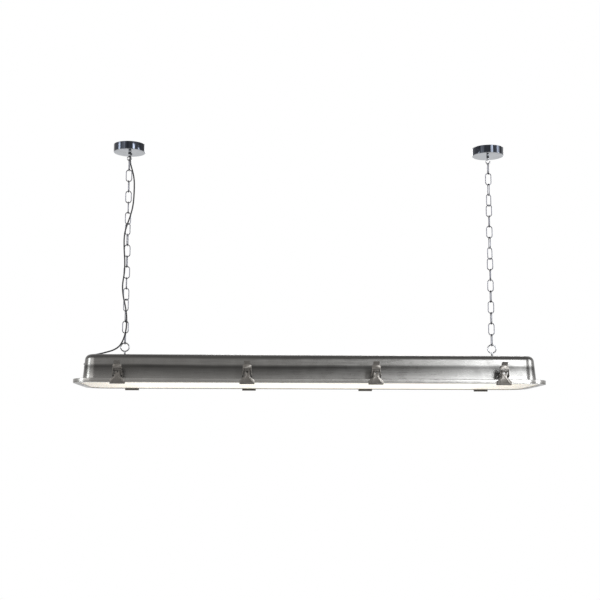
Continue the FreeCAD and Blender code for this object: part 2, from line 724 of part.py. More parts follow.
# ---------------------------------------------------------------- eye bolts
def eye_bolt(side, along):
    """A welded eye on a threaded shank that goes through the casing's top."""
    bend = value("(ring_inner + ring_wire) / 2")
    wire = wire_loop(value("ring_wire"), bend, 0, sides=8, steps=9)
    ring = loop_feature("eye_ring_" + side, wire, Rotation(), along, "0", RING_Z)
    shank_end = "(%s - 2 * (sheet_wall + washer_wall + nut_height))" % CASING_TOP
    shank = rod("eye_shank_" + side, "stud_width",
                "%s - (ring_inner + ring_wire) / 2 - %s" % (RING_Z, shank_end), along, "0", shank_end)
    return fuse("eye_bolt_" + side, ring, shank)


def eye_bolt_nuts():
    """A flanged nut above and one below the casing's top on each eye bolt."""
    pieces = []
    for side, sign in (("left", "-"), ("right", "")):
        along = sign + CHAIN_X
        under = "%s - sheet_wall - washer_wall" % CASING_TOP
        for label, flange_up, nut_up in (("upper", CASING_TOP, CASING_TOP + " + washer_wall"),
                                         ("lower", under, under + " - nut_height")):
            name = "%s_nut_%s" % (label, side)
            flange = prism(name + "_flange", 12, "washer_width", "washer_wall", along, "0", flange_up)
            flats = hexagon(name + "_flats", "nut_flats", "nut_height", along, "0", nut_up)
            bore = hexagon(name + "_bore", "stud_width", "30", along, "0", CASING_TOP + " - 15")
            pieces.append(cut(name, fuse(name + "_whole", flange, flats), bore))
    return keep(group("eye_bolt_nut_group", *pieces), "eye_bolt_nuts")


# ---------------------------------------------------------------- end gland
def end_gland():
    """The cord's elbow gland, square to the leaning left end wall: body, nut and inner locknut."""
    outward = Rotation(Vector(0, 1, 0), -(90 - value("draft_angle")))

    def on_axis(inside):
        """A place on the gland's axis, so far inside the wall's outer face."""
        return ("%s + (%s) * cos(draft_angle * 1 deg)" % (GLAND_WALL_X, inside), "0",
                "%s - (%s) * sin(draft_angle * 1 deg)" % (GLAND_Z, inside))

    thread_inside = "(sheet_wall + 2 * gland_hex)"
    thread = prism("gland_spigot", 16, "gland_thread", thread_inside + " + gland_out",
                   *on_axis(thread_inside), outward)
    flats = hexagon("gland_hexagon", "gland_flats", "gland_hex", *on_axis("0"), outward)
    knee = box("gland_knee", "gland_body", "gland_body", "gland_body", KNEE_X, "0",
               "%s - gland_body / 2" % KNEE_Z)
    knee = chamfer("gland_knee_block", knee, "3")
    riser = prism("gland_riser_rod", 16, "gland_thread", "gland_riser", KNEE_X, "0", KNEE_Z)
    keep(fuse("gland_fused", thread, flats, knee, riser), "end_gland")
    nut = hexagon("gland_nut_hexagon", "gland_nut_flats", "gland_nut - 2", KNEE_X, "0",
                  "%s + gland_riser" % KNEE_Z)
    dome = prism("gland_nut_dome", 12, "gland_nut_flats - 4", "2", KNEE_X, "0", "%s - 2" % MOUTH_Z)
    keep(fuse("gland_nut_fused", nut, dome), "end_gland_nut")
    seat = on_axis("sheet_wall + gland_hex + 0.1")
    blank = hexagon("gland_locknut_blank", "gland_flats", "gland_hex", *seat, outward)
    bore = prism("gland_locknut_bore", 16, "gland_thread", "gland_hex", *seat, outward)
    keep(cut("gland_locknut_cut", blank, bore), "end_gland_locknut")


# ---------------------------------------------------------------- tray, lampholders, tubes
def gear_tray():
    """The white tray: a plate with both long sides folded down."""
    body = new_body("gear_tray")
    sketch = new_sketch(body, "YZ_Plane")
    half = "tray_width / 2"
    draw_outline(sketch, [
        ("-" + half, "-tray_lip"),
        ("-%s + tray_wall" % half, "-tray_lip"),
        ("-%s + tray_wall" % half, "-tray_wall"),
        ("%s - tray_wall" % half, "-tray_wall"),
        ("%s - tray_wall" % half, "-tray_lip"),
        (half, "-tray_lip"),
        (half, "0"),
        ("-" + half, "0"),
    ])
    pad(body, sketch, "tray_length", "Symmetric")
    at(body, "0", "0", TRAY_TOP)
    return keep(body, "gear_tray")


def tray_spacers():
    """Four hexagonal posts between the casing's top and the tray, each with its screw's head below."""
    pieces = []
    for i, (x_sign, y_sign) in enumerate((("-", "-"), ("-", ""), ("", "-"), ("", ""))):
        along, across = x_sign + "spacer_spacing / 2", y_sign + "tray_width / 4"
        pieces.append(hexagon("spacer_%d" % i, "spacer_width", "tray_drop - sheet_wall", along, across,
                              TRAY_TOP))
        pieces.append(hexagon("tray_screw_%d" % i, "spacer_width", "2.5", along, across,
                              "%s - tray_wall - 2.5" % TRAY_TOP))
    return keep(group("tray_spacer_group", *pieces), "tray_spacers")


def inner_terminal():
    """The mains terminal block on the tray's top, near the end gland."""
    along = "-(tray_length / 2 - 40)"
    body = box("inner_terminal_body", "30", "18", "12", along, "tray_width / 6", TRAY_TOP)
    return keep(body, "inner_terminal_block")


def lampholders(side, sign):
    """The two lampholders of one end, hanging from the tray, with their contact wells."""
    pieces = []
    face = "(tube_length / 2 + holder_gap)"
    for index, across in enumerate(("-tube_spacing / 2", "tube_spacing / 2")):
        name = "lampholder_%s_%d" % (side, index)
        outward = Rotation(Vector(0, 1, 0), 90 if sign == "" else -90)
        middle = "%s(%s + holder_wall / 2)" % (sign, face)
        block = box(name + "_block", "holder_wall", "holder_width", "tube_drop", middle, across, TUBE_Z)
        nose = rod(name + "_nose", "holder_width", "holder_wall", sign + face, across, TUBE_Z, outward)
        well = prism(name + "_well", 8, "tube_pin_spacing + 2 * tube_pin_width", "tube_pin_length",
                   sign + face, across, TUBE_Z, outward)
        pieces.append(cut(name, fuse(name + "_whole", block, nose), well))
    return pieces


def tube(name, across):
    """One straight lamp tube: opal glass, two end caps and four contact pins."""
    caps = []
    for end, sign in (("left", "-"), ("right", "")):
        turn = Rotation(Vector(0, 1, 0), 90 if sign == "" else -90)
        cap = rod("%s_cap_%s" % (name, end), "tube_width", "cap_length",
                  "%s(tube_length / 2 - cap_length)" % sign, across, TUBE_Z, turn)
        pins = [prism("%s_pin_%s_%d" % (name, end, i), 8, "tube_pin_width", "tube_pin_length",
                    sign + "tube_length / 2", "%s + %d * tube_pin_spacing / 2" % (across, 2 * i - 1),
                    TUBE_Z, turn) for i in (0, 1)]
        caps.append(fuse("%s_end_%s" % (name, end), cap, *pins))
    glass = rod(name + "_glass_rod", "tube_width - 1", "tube_length - 2 * cap_length",
                "-(tube_length / 2 - cap_length)", across, TUBE_Z, Rotation(Vector(0, 1, 0), 90))
    keep(glass, name + "_glass")
    keep(group(name + "_cap_group", *caps), name + "_caps")


# ---------------------------------------------------------------- toggle latches
# A latch is made about its lever's pivot: y is minus the reach outwards, z is up.
def latch_bracket():
    """The bracket on the flange: a base and two cheeks in which the lever's stubs turn."""
    body = new_body("latch_bracket")
    sketch = new_sketch(body, "YZ_Plane")
    low = "-pivot_up"
    draw_outline(sketch, [
        ("pivot_out + 4", low),
        ("pivot_out + 24", low),
        ("pivot_out + 24", low + " + 8"),
        ("5", "8"),
        ("0", "8"),
        ("-cheek_nose", "3"),
        ("-cheek_nose", "-2"),
        ("-2", "-cheek_nose"),
        ("3.5", "-cheek_nose"),
        ("pivot_out + 4", low + " + 4"),
    ])
    pad(body, sketch, "cheek_inner + 2 * latch_sheet", "Symmetric")
    hollow = new_sketch(body, "YZ_Plane")
    draw_outline(hollow, [
        ("-cheek_nose - 1", low + " + latch_sheet"),
        ("pivot_out + 30", low + " + latch_sheet"),
        ("pivot_out + 30", "12"),
        ("-cheek_nose - 1", "12"),
    ])
    pocket(body, hollow, "cheek_inner", "Symmetric")
    bores = new_sketch(body, "YZ_Plane")
    draw_polygon(bores, 12, "latch_pin + 2 * pin_play", "0", "0")
    pocket(body, bores, "cheek_inner + 4 * latch_sheet", "Symmetric")
    return body


def latch_lever():
    """The forked lever: two arms with stubs for its pivot and a pin for the claw, a web, a finger tab."""
    body = new_body("latch_lever")
    side_view = new_sketch(body, "YZ_Plane")
    front = "-lever_face"
    draw_outline(side_view, [
        ("4.5", "-1"),
        ("2", "-4.5"),
        ("-3", "-4.5"),
        (front, "3"),
        (front, "lever_height"),
        ("-2", "lever_height"),
        ("6", "lever_slot"),
        ("6", "10"),
    ])
    pad(body, side_view, "lever_width", "Symmetric")
    hollow = new_sketch(body, "YZ_Plane")
    draw_outline(hollow, [
        (front + " - 1", "-10"),
        (front + " - 1", "lever_slot"),
        (front + " + latch_sheet", "lever_slot"),
        (front + " + latch_sheet", "lever_height + 5"),
        ("20", "lever_height + 5"),
        ("20", "-10"),
    ])
    pocket(body, hollow, "lever_width - 2 * latch_sheet", "Symmetric")
    shoulders = new_sketch(body, "XZ_Plane", "lever_face + 1")
    edge, neck = "(lever_width / 2 + 1)", "(tab_width / 2)"
    for lead in ("-", ""):
        draw_outline(shoulders, [
            (lead + edge, "lever_height - 6"),
            (lead + edge, "lever_height + 1"),
            (lead + neck, "lever_height + 1"),
            (lead + neck, "lever_height - 1"),
        ])
    pocket(body, shoulders, "20")
    tab = new_sketch(body, "YZ_Plane")
    draw_outline(tab, [
        (front, "lever_height - 1.5"),
        (front + " - tab_reach", "lever_height - 1.5 + tab_reach"),
        (front + " - tab_reach + latch_sheet * 0.7", "lever_height - 1.5 + tab_reach + latch_sheet * 0.7"),
        (front + " + latch_sheet", "lever_height"),
        (front + " + latch_sheet", "lever_height - 1.5"),
    ])
    pad(body, tab, "tab_width", "Symmetric")
    pin = new_sketch(body, "YZ_Plane")
    draw_polygon(pin, 12, "latch_pin * cos(15 deg)", "claw_pivot_in", "claw_pivot_up")
    pad(body, pin, "lever_width", "Symmetric")
    stubs = new_sketch(body, "YZ_Plane")
    draw_polygon(stubs, 12, "latch_pin * cos(15 deg)", "0", "0")
    pad(body, stubs, "cheek_inner + 2 * latch_sheet + 2 * stub_end", "Symmetric")
    gap = new_sketch(body, "YZ_Plane")
    draw_polygon(gap, 4, "latch_pin + 1", "0", "0")
    pocket(body, gap, "lever_width - 2 * latch_sheet", "Symmetric")
    return body


def latch_claw():
    """The claw: a rolled eye on the lever's pin, a pierced shank, a flared foot and a hook."""
    body = new_body("latch_claw")
    sheet_back = "(claw_pivot_in + latch_sheet / 2)"
    foot = "(-pivot_up - rim_depth - rim_gap - frame_rim)"
    outline = new_sketch(body, "XZ_Plane", "-(%s)" % sheet_back)
    half, wide = "(shank_width / 2)", "(claw_width / 2)"
    draw_outline(outline, [
        ("-" + half, "claw_pivot_up"),
        ("-" + half, "-7"),
        ("-" + wide, foot + " + 6"),
        ("-" + wide, foot + " - 1"),
        (wide, foot + " - 1"),
        (wide, foot + " + 6"),
        (half, "-7"),
        (half, "claw_pivot_up"),
    ])
    pad(body, outline, "latch_sheet")
    eye = new_sketch(body, "YZ_Plane")
    corners = [(math.cos(math.radians(turn)), math.sin(math.radians(turn))) for turn in range(0, 360, 30)]
    draw_outline(eye, [("claw_pivot_in + claw_eye / 2 * %.6f" % x, "claw_pivot_up + claw_eye / 2 * %.6f" % z)
                       for x, z in corners])
    pad(body, eye, "shank_width", "Symmetric")
    hook_view = new_sketch(body, "YZ_Plane")
    back, front = sheet_back, "(claw_pivot_in - latch_sheet / 2)"
    tip, low = "(%s + claw_hook)" % front, "(%s - claw_drop)" % foot
    draw_outline(hook_view, [
        (front, foot + " + 1"),
        (front, low + " + latch_sheet"),
        (front + " + latch_sheet", low),
        (tip + " - latch_sheet", low),
        (tip, low + " + latch_sheet"),
        (tip, foot + " - claw_gap"),
        (tip + " - latch_sheet", foot + " - claw_gap"),
        (tip + " - latch_sheet", low + " + latch_sheet"),
        (back, low + " + latch_sheet"),
        (back, foot + " + 1"),
    ])
    pad(body, hook_view, "claw_width", "Symmetric")
    ribs = new_sketch(body, "XZ_Plane", "-(%s)" % front)
    for lead in ("-", ""):
        draw_outline(ribs, [
            (lead + "2", "-5"),
            (lead + "5", "-5"),
            (lead + "16", foot + " + 1"),
            (lead + "13", foot + " + 1"),
        ])
    pad(body, ribs, "1.2")
    bores = new_sketch(body, "YZ_Plane")
    draw_polygon(bores, 12, "latch_pin + 2 * pin_play", "claw_pivot_in", "claw_pivot_up")
    pocket(body, bores, "2 * lever_width", "Symmetric")
    window = new_sketch(body, "XZ_Plane")
    draw_polygon(window, 12, "claw_hole", "0", "claw_pivot_up - claw_eye / 2 - claw_hole / 2 + 1")
    pocket(body, window, "20", "Symmetric")
    return body


def latches():
    """Four latches along the front and four along the back, each stamped from the same masters."""
    bracket, lever, claw = latch_bracket(), latch_lever(), latch_claw()
    brackets = []
    for row, turn, across in (("front", 0, "-(flange_width / 2 + pivot_out)"),
                              ("rear", 180, "flange_width / 2 + pivot_out")):
        for number in range(4):
            along = "%s * latch_spacing" % (number - 1.5)
            place = (along, across, "%s + pivot_up" % FLANGE_TOP, turn)
            tail = "%s_%d" % (row, number + 1)
            brackets.append(copy_of(bracket, "latch_bracket_" + tail, *place))
            keep(copy_of(lever, "latch_lever_" + tail, *place), "latch_lever_" + tail)
            keep(copy_of(claw, "latch_claw_" + tail, *place), "latch_claw_" + tail)
    keep(group("latch_bracket_group", *brackets), "latch_brackets")


# ---------------------------------------------------------------- the whole lamp
LEFT_SLIPS = (5.5, 12.5)
RIGHT_SLIPS = (3.5, 8.5)

SIDES = (("left", "-" + CHAIN_X), ("right", CHAIN_X))
keep(group("canopy_pair", *[canopy(side, along, side == "left") for side, along in SIDES]), "canopies")
keep(group("strap_pair", *[strap(side, along) for side, along in SIDES]), "ceiling_straps")
keep(group("hook_pair", *[hook(side, along) for side, along in SIDES]), "ceiling_hooks")
keep(group("eye_bolt_pair", *[eye_bolt(side, along) for side, along in SIDES]), "eye_bolts")
stud_nuts()
canopy_terminal()
cord_bush()
chain("left", -1, LEFT_SLIPS)
chain("right", 1, RIGHT_SLIPS)
power_cord()
casing()
eye_bolt_nuts()
end_gland()
keep(flat_ring("gasket", LENS_TOP, "%s - sheet_wall - %s" % (FLANGE_TOP, LENS_TOP), inset("gasket_inset"),
               inset("gasket_inset + gasket_width")), "gasket")
lens_frame()
keep(flat_ring("lens", "%s + frame_wall" % FRAME_BOTTOM, "lens_wall", inset("frame_wall + lens_gap"), None),
     "lens")
gear_tray()
tray_spacers()
inner_terminal()
keep(group("lampholder_group", *lampholders("left", "-"), *lampholders("right", "")), "lampholders")
tube("tube_front", "-tube_spacing / 2")
tube("tube_rear", "tube_spacing / 2")
latches()
doc.recompute()

# ---------------------------------------------------------------- checks and files
for thing in doc.Objects:
    if "Invalid" in thing.State or "Error" in thing.State:
        raise RuntimeError("%s (%s) failed: %s" % (thing.Name, thing.Label, thing.State))
os.makedirs("parts", exist_ok=True)
for node in nodes:
    if node.Shape.isNull() or not node.Shape.isValid() or not node.Shape.Solids:
        raise RuntimeError(node.Label + " has no valid solid")
for node in nodes:
    node.Shape.exportStep("parts/%s.step" % node.Label)
print(len(nodes), "sub-parts,", sum(len(node.Shape.Solids) for node in nodes), "solids")
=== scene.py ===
import math

import bmesh
import bpy
from mathutils import Matrix, Vector


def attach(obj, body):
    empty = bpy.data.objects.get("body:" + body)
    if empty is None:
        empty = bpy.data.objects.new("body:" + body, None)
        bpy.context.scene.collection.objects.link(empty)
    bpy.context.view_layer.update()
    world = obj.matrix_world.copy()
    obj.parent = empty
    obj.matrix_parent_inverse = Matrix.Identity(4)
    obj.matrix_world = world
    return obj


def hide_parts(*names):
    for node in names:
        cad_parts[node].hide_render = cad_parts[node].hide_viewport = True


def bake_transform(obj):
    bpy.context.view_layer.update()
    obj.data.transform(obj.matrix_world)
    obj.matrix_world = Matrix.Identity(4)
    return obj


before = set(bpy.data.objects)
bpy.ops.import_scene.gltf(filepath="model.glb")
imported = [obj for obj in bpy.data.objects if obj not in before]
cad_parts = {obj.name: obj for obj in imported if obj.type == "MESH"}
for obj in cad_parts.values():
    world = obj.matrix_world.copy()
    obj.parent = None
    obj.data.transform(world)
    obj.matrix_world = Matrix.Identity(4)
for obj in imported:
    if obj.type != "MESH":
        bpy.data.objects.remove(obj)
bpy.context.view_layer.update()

# ---------------------------------------------------------------- places and sizes, in metres
CHAIN_X = 0.573                     # each chain's distance from the middle

TOP = -0.6787                       # the casing's top
CASING_HEIGHT = 0.074
FLANGE_TOP = TOP - CASING_HEIGHT
FRAME_BOTTOM = FLANGE_TOP - 0.012
SHEET = 0.0015
LEAN = math.radians(5.5)            # of the casing's walls
DRAFT = math.tan(LEAN)
FLANGE_HALF_LENGTH, FLANGE_HALF_WIDTH = 0.71, 0.181
FLANGE_CORNER = 0.070

HOOK_Z = -0.044                     # the middle of the hook's ring
HOOK_BEND, HOOK_WIRE = 0.00625, 0.00175
RING_Z = -0.6457                    # the middle of the eye bolt's ring
EYE_BEND, EYE_WIRE = 0.013, 0.002
STUD = 0.003                        # radius of the threaded studs

FIRST_SEAT = -0.0482                # where the top link hangs in its hook
LINK_PITCH = 0.0345
LINK_INNER = 0.0348
LINK_WIRE = 0.0015
LINK_BEND = 0.00875

CORD_WIDTH = 0.0045
BUSH_Y = 0.017                      # the cord's bush, behind the left hook
RELIEF_LENGTH = 0.022               # of the strain reliefs
GLAND_X = -0.67815
GLAND_Z = TOP - 0.034
KNEE_OUT = 0.011                    # the elbow's middle, out from the end wall
KNEE = Vector((GLAND_X - KNEE_OUT * math.cos(LEAN), 0, GLAND_Z + KNEE_OUT * math.sin(LEAN)))
MOUTH_Z = KNEE.z + 0.017


# ---------------------------------------------------------------- mesh helpers
def new_object(name, mesh):
    obj = bpy.data.objects.new(name, mesh)
    bpy.context.scene.collection.objects.link(obj)
    return obj


def from_bmesh(name, bm, angle=35):
    """An object from a bmesh, smooth except at edges sharper than the angle in degrees."""
    bmesh.ops.remove_doubles(bm, verts=bm.verts, dist=1e-6)
    bmesh.ops.recalc_face_normals(bm, faces=bm.faces)
    limit = math.radians(angle)
    for face in bm.faces:
        face.smooth = True
    for edge in bm.edges:
        edge.smooth = len(edge.link_faces) == 2 and edge.calc_face_angle(0) < limit
    mesh = bpy.data.meshes.new(name)
    bm.to_mesh(mesh)
    bm.free()
    return new_object(name, mesh)


def add_rings(bm, rings, closed=False):
    """Skins a list of rings with quads, and caps its ends unless it closes on itself."""
    made = [[bm.verts.new(p) for p in ring] for ring in rings]
    count = len(made[0])
    pairs = list(zip(made, made[1:])) + ([(made[-1], made[0])] if closed else [])
    for a, b in pairs:
        for i in range(count):
            j = (i + 1) % count
            bm.faces.new((a[i], b[i], b[j], a[j]))
    if not closed:
        bm.faces.new(made[0])
        bm.faces.new(list(reversed(made[-1])))


def level_ring(radius, height, count):
    """Points round the Z axis at a height."""
    angles = [2 * math.pi * i / count for i in range(count)]
    return [Vector((radius * math.cos(a), radius * math.sin(a), height)) for a in angles]


def lathe(bm, profile, centre, segments, axis=Vector((0, 0, 1))):
    """Turns a profile of (radius, height) pairs round an axis through the centre."""
    turn = axis.to_track_quat("Z", "Y").to_matrix()
    add_rings(bm, [[centre + turn @ point for point in level_ring(radius, height, segments)]
                   for radius, height in profile])


def closed_lathe(bm, profile, centre, segments):
    """A turned wall whose profile runs round and closes on itself."""
    add_rings(bm, [[centre + point for point in level_ring(radius, height, segments)]
                   for radius, height in profile], closed=True)


def tube_rings(points, radius, sides, closed=False):
    """Rings along a line, carried from point to point without twist."""
    count = len(points)
    rings = []
    tangent = None
    side = None
    for i, point in enumerate(points):
        after = points[(i + 1) % count] if closed or i + 1 < count else point
        before = points[i - 1] if closed or i else point
        now = (after - before).normalized()
        if side is None:
            helper = Vector((0, 0, 1)) if abs(now.z) < 0.9 else Vector((0, 1, 0))
            side = now.cross(helper).normalized()
        else:
            side = (tangent.rotation_difference(now) @ side)
            side = (side - now * side.dot(now)).normalized()
        tangent = now
        up = now.cross(side)
        r = radius[i] if isinstance(radius, (list, tuple)) else radius
        rings.append([point + (side * math.cos(2 * math.pi * k / sides)
                               + up * math.sin(2 * math.pi * k / sides)) * r for k in range(sides)])
    return rings


def hexagon(bm, flats, low, high, centre, turn=Matrix.Identity(3), bevel=0.0006):
    """A hexagonal nut blank with bevelled corners."""
    reach = flats / 2 / math.cos(math.pi / 6)
    narrowed = 0.9 * reach
    add_rings(bm, [[centre + turn @ point for point in level_ring(radius, z, 6)]
                   for radius, z in ((narrowed, low), (reach, low + bevel),
                                     (reach, high - bevel), (narrowed, high))])


def outline(inset, z, segments=18):
    """The flange's rounded outline drawn in by an amount, at a height."""
    far_x, far_y = FLANGE_HALF_LENGTH - inset, FLANGE_HALF_WIDTH - inset
    radius = max(0.0005, FLANGE_CORNER - inset)
    points = []
    for cx, cy, start in ((1, -1, -90), (1, 1, 0), (-1, 1, 90), (-1, -1, 180)):
        for i in range(segments + 1):
            a = math.radians(start + 90 * i / segments)
            points.append(Vector((cx * (far_x - radius) + radius * math.cos(a),
                                  cy * (far_y - radius) + radius * math.sin(a), z)))
    return points


def bend_points(centre, radius, start, end, steps):
    """Points of a small arc in a profile, angles in degrees."""
    return [(centre[0] + radius * math.cos(math.radians(start + (end - start) * i / steps)),
             centre[1] + radius * math.sin(math.radians(start + (end - start) * i / steps)))
            for i in range(steps + 1)]


# ---------------------------------------------------------------- material helpers
class Nodes:
    """A material's node tree, with short calls for the nodes used here."""

    def __init__(self, name, color, metallic=0.0, roughness=0.5):
        self.material = bpy.data.materials.new(name)
        self.material.use_nodes = True
        self.tree = self.material.node_tree
        self.shader = self.tree.nodes["Principled BSDF"]
        self.shader.inputs["Base Color"].default_value = (*color, 1)
        self.shader.inputs["Metallic"].default_value = metallic
        self.shader.inputs["Roughness"].default_value = roughness
        self.place = self.add("ShaderNodeTexCoord").outputs["Object"]
        self.bumped = None

    def add(self, kind, **values):
        node = self.tree.nodes.new(kind)
        for key, number in values.items():
            setattr(node, key, number)
        return node

    def link(self, a, b):
        self.tree.links.new(a, b)

    def noise(self, scale, stretch=(1, 1, 1), detail=3.0, rough=0.55):
        mapping = self.add("ShaderNodeMapping")
        mapping.inputs["Scale"].default_value = stretch
        self.link(self.place, mapping.inputs["Vector"])
        node = self.add("ShaderNodeTexNoise")
        node.inputs["Scale"].default_value = scale
        node.inputs["Detail"].default_value = detail
        node.inputs["Roughness"].default_value = rough
        self.link(mapping.outputs["Vector"], node.inputs["Vector"])
        return node.outputs["Fac"]

    def between(self, value, low, high, start=0.0, end=1.0):
        node = self.add("ShaderNodeMapRange")
        node.inputs["From Min"].default_value = start
        node.inputs["From Max"].default_value = end
        node.inputs["To Min"].default_value = low
        node.inputs["To Max"].default_value = high
        self.link(value, node.inputs["Value"])
        return node.outputs["Result"]

    def mix(self, factor, a, b, blend="MIX"):
        node = self.add("ShaderNodeMix", data_type="RGBA", blend_type=blend)
        sockets = [s for s in node.inputs if s.type == "RGBA"]
        for socket, content in zip(sockets, (a, b)):
            if isinstance(content, tuple):
                socket.default_value = (*content, 1)
            else:
                self.link(content, socket)
        if isinstance(factor, float):
            node.inputs[0].default_value = factor
        else:
            self.link(factor, node.inputs[0])
        return [s for s in node.outputs if s.type == "RGBA"][0]

    def math(self, kind, a, b=0.0):
        node = self.add("ShaderNodeMath", operation=kind)
        for socket, content in zip(node.inputs, (a, b)):
            if isinstance(content, (int, float)):
                socket.default_value = content
            else:
                self.link(content, socket)
        return node.outputs[0]

    def bump(self, height, distance, strength=1.0):
        node = self.add("ShaderNodeBump")
        node.inputs["Distance"].default_value = distance
        node.inputs["Strength"].default_value = strength
        self.link(height, node.inputs["Height"])
        if self.bumped:
            self.link(self.bumped, node.inputs["Normal"])
        self.bumped = node.outputs["Normal"]
        self.link(self.bumped, self.shader.inputs["Normal"])

    def color(self, socket):
        self.link(socket, self.shader.inputs["Base Color"])

    def rough(self, socket):
        self.link(socket, self.shader.inputs["Roughness"])

    def brush_gloss(self, lines, roughness):
        """Roughness that varies with the brush lines and with faint handling marks."""
        smudge = self.noise(28.0, detail=4.0)
        level = self.math("ADD", self.between(lines, -0.07, 0.07, 0.3, 0.7),
                          self.between(smudge, -0.03, 0.05, 0.4, 0.7))
        self.rough(self.math("ADD", level, roughness))


def shade(color, amount):
    """A colour made lighter or darker by a factor."""
    return tuple(min(1.0, c * amount) for c in color)


def brushed(name, color, roughness, stretch, scale=900, depth=0.00002, spread=0.12):
    """Metal with fine parallel brush lines and faint handling marks."""
    n = Nodes(name, color, 1.0, roughness)
    lines = n.noise(scale, stretch, 4.0, 0.7)
    broad = n.noise(5.0)
    tone = n.mix(n.between(lines, 0, 1, 0.3, 0.7),
                 shade(color, 1 - spread), shade(color, 1 + spread))
    n.color(n.mix(n.between(broad, 0.0, 0.35, 0.45, 0.75), tone, shade(color, 0.82)))
    n.brush_gloss(lines, roughness)
    n.bump(lines, depth, 0.5)
    return n.material


# Painted reflection bands: tones of the casing's base colour by height, from the frame's bottom (0)
# to the casing's top (1).
PAINTED_REFLECTION_TONES = ((0.0, 1.25), (0.13, 1.5), (0.16, 1.1), (0.34, 0.66), (0.50, 0.36), (0.56, 0.20),
              (0.61, 0.30), (0.67, 0.90), (0.82, 0.95), (0.90, 0.36), (1.0, 0.50))


def trough_metal(name, color, roughness):
    """Brushed sheet with light and dark bands painted into its base colour by height.

    The bands stand in for reflections. They are fixed to the casing and turn with it.
    """
    n = Nodes(name, color, 1.0, roughness)
    lines = n.noise(700, (0.02, 1, 1), 4.0, 0.7)
    broad = n.noise(5.0)
    split = n.add("ShaderNodeSeparateXYZ")
    n.link(n.place, split.inputs[0])
    waver = n.between(n.noise(1.6, (1, 0.2, 0.2)), -0.004, 0.004, 0.3, 0.7)
    height = n.between(n.math("ADD", split.outputs["Z"], waver), 0.0, 1.0, FRAME_BOTTOM, TOP)
    # The ramp paints the reflection bands as lighter and darker tones by height.
    ramp = n.add("ShaderNodeValToRGB")
    n.link(height, ramp.inputs["Fac"])
    marks = ramp.color_ramp.elements
    while len(marks) < len(PAINTED_REFLECTION_TONES):
        marks.new(0.5)
    for mark, (place, tone) in zip(marks, PAINTED_REFLECTION_TONES):
        mark.position = place
        mark.color = (*shade(color, tone), 1)
    tone = n.mix(n.between(lines, 0, 1, 0.3, 0.7), (0.86, 0.86, 0.86), (1.0, 1.0, 1.0))
    reflection_bands = n.mix(1.0, ramp.outputs["Color"], tone, "MULTIPLY")
    n.color(n.mix(n.between(broad, 0.0, 0.3, 0.45, 0.75), reflection_bands, shade(color, 0.5)))
    n.brush_gloss(lines, roughness)
    n.bump(lines, 0.00002, 0.5)
    return n.material


def canopy_chrome(name, side, underside):
    """Plating painted dark on the wall and pale on the underside, by height, in its base colour.

    The two tones stand in for reflections. They are fixed to the canopy.
    """
    n = Nodes(name, side, 1.0, 0.08)
    haze = n.noise(35.0, detail=5.0)
    wall_reflection_streaks = n.noise(60.0, (1, 1, 0.05), 2.0)
    split = n.add("ShaderNodeSeparateXYZ")
    n.link(n.place, split.inputs[0])
    upright = n.between(split.outputs["Z"], 0.0, 1.0, -0.0247, -0.0236)
    # Painted reflection streaks lighten the dark wall tone.
    wall = n.mix(n.between(wall_reflection_streaks, 0.0, 1.0, 0.42, 0.66), side, shade(side, 2.6))
    floor_side = n.mix(n.between(haze, 0.0, 0.4, 0.4, 0.75), underside, shade(underside, 0.75))
    n.color(n.mix(upright, floor_side, wall))
    n.rough(n.between(haze, 0.05, 0.16, 0.35, 0.7))
    n.bump(n.noise(900.0, detail=2.0), 0.000008, 0.35)
    return n.material


def plated(name, color, roughness, wear=0.5):
    """Polished or plated metal with faint haze and small pits."""
    n = Nodes(name, color, 1.0, roughness)
    haze = n.noise(35.0, detail=5.0)
    pits = n.noise(900.0, detail=2.0)
    n.color(n.mix(n.between(haze, 0.0, wear, 0.4, 0.75), color, shade(color, 0.72)))
    n.rough(n.between(haze, max(0.02, roughness - 0.03), roughness + 0.10, 0.35, 0.7))
    n.bump(pits, 0.000008, 0.35)
    return n.material


def plastic(name, color, roughness, grain=1200.0, depth=0.00001, coat=0.0):
    """Moulded or painted surface with a fine grain and faint unevenness of tone."""
    n = Nodes(name, color, 0.0, roughness)
    tone = n.noise(40.0, detail=4.0)
    fine = n.noise(grain, detail=2.0)
    n.color(n.mix(n.between(tone, 0.0, 0.5, 0.35, 0.7), color, shade(color, 0.86)))
    n.rough(n.between(tone, roughness - 0.05, roughness + 0.08, 0.3, 0.7))
    n.bump(fine, depth, 0.5)
    n.shader.inputs["Coat Weight"].default_value = coat
    return n.material


NICKEL = trough_metal("brushed_nickel", (0.160, 0.155, 0.148), 0.30)
FRAME_METAL = brushed("frame_nickel", (0.22, 0.215, 0.205), 0.27, (0.02, 1, 1), 700)
CANOPY = canopy_chrome("canopy_chrome", (0.020, 0.022, 0.027), (0.34, 0.355, 0.38))
CHROME = plated("polished_nickel", (0.20, 0.20, 0.205), 0.08, 0.3)
CHAIN = plated("chain_nickel", (0.085, 0.085, 0.095), 0.18, 0.6)
LATCH = brushed("latch_steel", (0.125, 0.116, 0.106), 0.36, (1, 1, 0.06), 1400, 0.000012, 0.08)
ZINC = plated("zinc_steel", (0.42, 0.42, 0.43), 0.30, 0.9)
TRAY = plastic("tray_white", (0.83, 0.83, 0.81), 0.32, 260.0, 0.00002, 0.3)
BLACK = plastic("gland_black", (0.022, 0.022, 0.024), 0.42, 1600.0, 0.000012)
FOAM = plastic("gasket_foam", (0.06, 0.06, 0.06), 0.9, 500.0, 0.0002)
CAPS = brushed("cap_aluminium", (0.72, 0.72, 0.73), 0.28, (0.05, 1, 1), 900)
FITTING = plastic("fitting_white", (0.82, 0.81, 0.78), 0.38)


